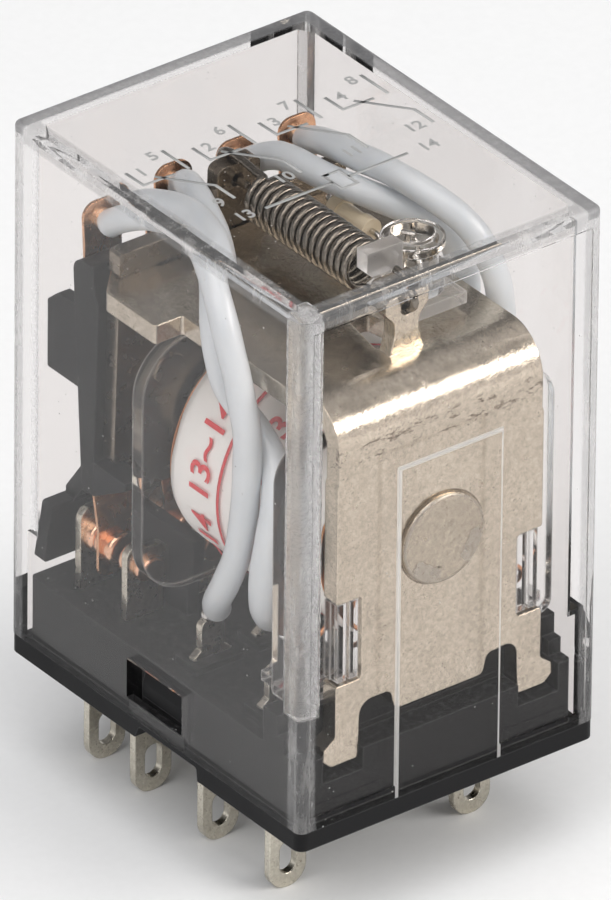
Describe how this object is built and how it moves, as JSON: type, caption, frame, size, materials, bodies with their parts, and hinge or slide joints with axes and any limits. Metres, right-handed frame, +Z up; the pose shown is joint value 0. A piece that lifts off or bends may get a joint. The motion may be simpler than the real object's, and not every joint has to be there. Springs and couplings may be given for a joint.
{
  "type": "plug-in relay",
  "caption": "Plug-in relay with a clear snap-off cover, flat blade terminals with eyes, changeover contacts, a rocking armature and a coil in a bent steel yoke.",
  "frame": {"origin": "centre of the base's underside, which is the face that seats on a socket", "axes": "+Z up, away from the blades; +X towards the coil end with the yoke; Y across the contact columns"},
  "size_m": [0.0274, 0.021, 0.042],
  "materials": {
    "black_base": "satin",
    "black_carrier": "satin",
    "cover_clear": "clear, glossy",
    "bobbin_clear": "clear, glossy",
    "terminal_plating": "plated, satin",
    "contact_copper": "polished",
    "blade_copper": "rolled, satin",
    "yoke_nickel": "nickel plated, satin",
    "core_iron": "nickel plated",
    "ring_copper": "satin",
    "winding_copper": "enamelled",
    "coil_tape": "thin white tape",
    "spring_steel": "polished",
    "lead_insulation": "smooth",
    "solder": "tinned",
    "lamp_clear": "clear",
    "holder_clear": "clear",
    "resistor_tan": "lacquered",
    "armature_steel": "nickel plated",
    "print_ink": "thin printed ink"
  },
  "bodies": {
    "base": {"base": "black_base", "yoke": "yoke_nickel", "core": "core_iron", "shading_ring": "ring_copper", "bobbin": "bobbin_clear", "coil_winding": "winding_copper", "coil_tape": "coil_tape", "coil_leads": "winding_copper", "return_spring": "spring_steel", "terminal_solder": "solder", "indicator_led": "lamp_clear", "led_holder": "holder_clear", "led_resistor": "resistor_tan", "led_wires": "solder", "nc_terminal_1": "terminal_plating", "no_terminal_5": "terminal_plating", "common_terminal_9": "terminal_plating", "nc_contact_1": "contact_copper", "no_contact_5": "contact_copper", "lead_wire_1": "lead_insulation", "nc_terminal_2": "terminal_plating", "no_terminal_6": "terminal_plating", "common_terminal_10": "terminal_plating", "nc_contact_2": "contact_copper", "no_contact_6": "contact_copper", "lead_wire_2": "lead_insulation", "nc_terminal_3": "terminal_plating", "no_terminal_7": "terminal_plating", "common_terminal_11": "terminal_plating", "nc_contact_3": "contact_copper", "no_contact_7": "contact_copper", "lead_wire_3": "lead_insulation", "nc_terminal_4": "terminal_plating", "no_terminal_8": "terminal_plating", "common_terminal_12": "terminal_plating", "nc_contact_4": "contact_copper", "no_contact_8": "contact_copper", "lead_wire_4": "lead_insulation", "coil_terminal_13": "terminal_plating", "coil_terminal_14": "terminal_plating"},
    "armature": {"armature": "armature_steel", "armature_rivets": "armature_steel", "contact_carrier": "black_carrier", "blade_solder": "solder", "moving_blade_1": "blade_copper", "moving_blade_2": "blade_copper", "moving_blade_3": "blade_copper", "moving_blade_4": "blade_copper", "moving_contact_1": "contact_copper", "moving_contact_2": "contact_copper", "moving_contact_3": "contact_copper", "moving_contact_4": "contact_copper"},
    "cover": {"dust_cover": "cover_clear"}
  },
  "joints": [
    {"name": "armature_rock", "type": "hinge", "parent": "base", "child": "armature", "pos_m": [-0.0069, 0, 0.0274], "axis": [0, -1, 0], "range_deg": [0, 2], "stiffness_Nm_per_rad": 0.01, "springref_deg": -57.3, "deforming": ["return_spring", "lead_wire_1", "lead_wire_2", "lead_wire_3", "lead_wire_4"]},
    {"name": "cover_lift", "type": "slide", "parent": "base", "child": "cover", "axis": [0, 0, 1], "range_m": [0, 0.036]}
  ]
}
